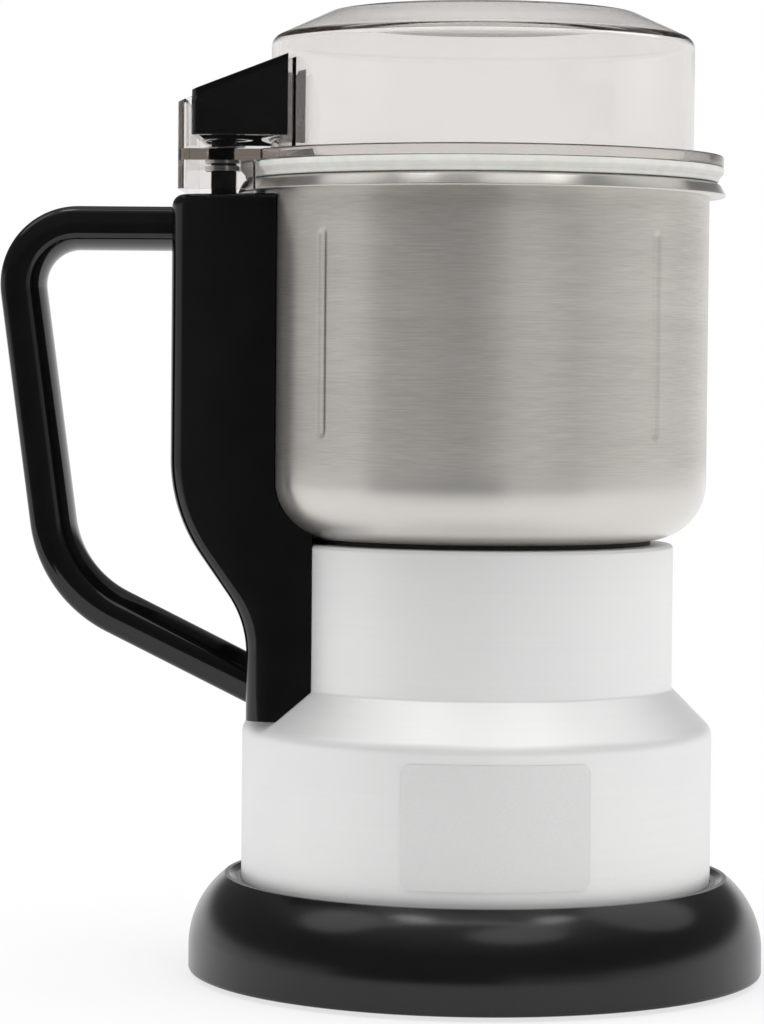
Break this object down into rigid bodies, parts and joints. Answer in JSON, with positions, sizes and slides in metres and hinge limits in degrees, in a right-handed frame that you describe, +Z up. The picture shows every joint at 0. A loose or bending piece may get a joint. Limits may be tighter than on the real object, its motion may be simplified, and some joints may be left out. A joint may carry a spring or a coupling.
{
  "type": "electric coffee grinder",
  "caption": "Upright blade grinder with a motor body, steel bowl, clear lid holding a press-to-run button and a looped side handle.",
  "frame": {"origin": "on the table, at the centre of the rubber ring, under the motor axis", "axes": "+Z up along the motor axis, -X towards the handle, -Y towards the front with the label"},
  "size_m": [0.1914, 0.1449, 0.24],
  "materials": {
    "black_gloss": "gloss moulded",
    "black_matte": "moulded",
    "body_aluminium": "satin spun",
    "bowl_steel": "brushed",
    "clear_plastic": "clear moulded",
    "white_silicone": "matte moulded",
    "black_rubber": "matte moulded",
    "label_foil": "satin film",
    "bright_steel": "bright turned",
    "cast_metal": "die cast",
    "core_iron": "stacked sheets",
    "copper_wire": "enamelled",
    "bronze": "sintered",
    "carbon": "pressed",
    "pale_plastic": "moulded",
    "film_yellow": "dipped",
    "red_plastic": "moulded"
  },
  "bodies": {
    "housing": {"foot_skirt": "black_gloss", "bottom_cover": "black_matte", "foot_ring": "black_rubber", "cover_screws": "bright_steel", "cord_inlet": "black_rubber", "terminal_block": "pale_plastic", "capacitor": "film_yellow", "body_shell": "body_aluminium", "blank_label": "label_foil", "bowl_seat": "black_rubber", "bowl": "bowl_steel", "bowl_screws": "bright_steel", "shaft_seal": "black_rubber", "handle_column": "black_gloss", "handle_grip": "black_gloss", "neck_screws": "bright_steel", "grip_screws": "bright_steel", "power_switch": "black_matte", "switch_screws": "bright_steel", "switch_wires": "red_plastic", "upper_bracket": "cast_metal", "lower_bracket": "cast_metal", "motor_bolts": "bright_steel", "motor_dampers": "black_rubber", "upper_bush": "bronze", "lower_bush": "bronze", "field_core": "core_iron", "field_coils": "copper_wire", "brush_holders": "bronze", "carbon_brushes": "carbon", "brush_springs": "bright_steel"},
    "rotor": {"motor_shaft": "bright_steel", "armature_core": "core_iron", "armature_windings": "copper_wire", "commutator": "copper_wire", "cooling_fan": "black_matte", "blade_spacer": "bright_steel", "lower_blade": "bright_steel", "upper_blade": "bright_steel", "blade_nut": "bright_steel"},
    "lid": {"lid": "clear_plastic", "lid_seal": "white_silicone", "button_spring": "bright_steel"},
    "button": {"start_button": "black_gloss", "button_clip": "bright_steel"},
    "plunger": {"switch_plunger": "red_plastic"}
  },
  "joints": [
    {"name": "lid_lift", "type": "slide", "parent": "housing", "child": "lid", "axis": [0, 0, 1], "range_m": [0, 0.06]},
    {"name": "button_press", "type": "slide", "parent": "lid", "child": "button", "axis": [0, 0, -1], "range_m": [0, 0.003], "stiffness_N_per_m": 800, "springref_m": -0.003, "deforming": ["button_spring"]},
    {"name": "plunger_press", "type": "slide", "parent": "housing", "child": "plunger", "axis": [0, 0, -1], "range_m": [0, 0.003]},
    {"name": "blade_spin", "type": "hinge", "parent": "housing", "child": "rotor", "pos_m": [0, 0, 0], "axis": [0, 0, 1], "continuous": true}
  ],
  "couplings": [
    {"joint": "plunger_press", "follows": "button_press", "ratio": 1}
  ]
}
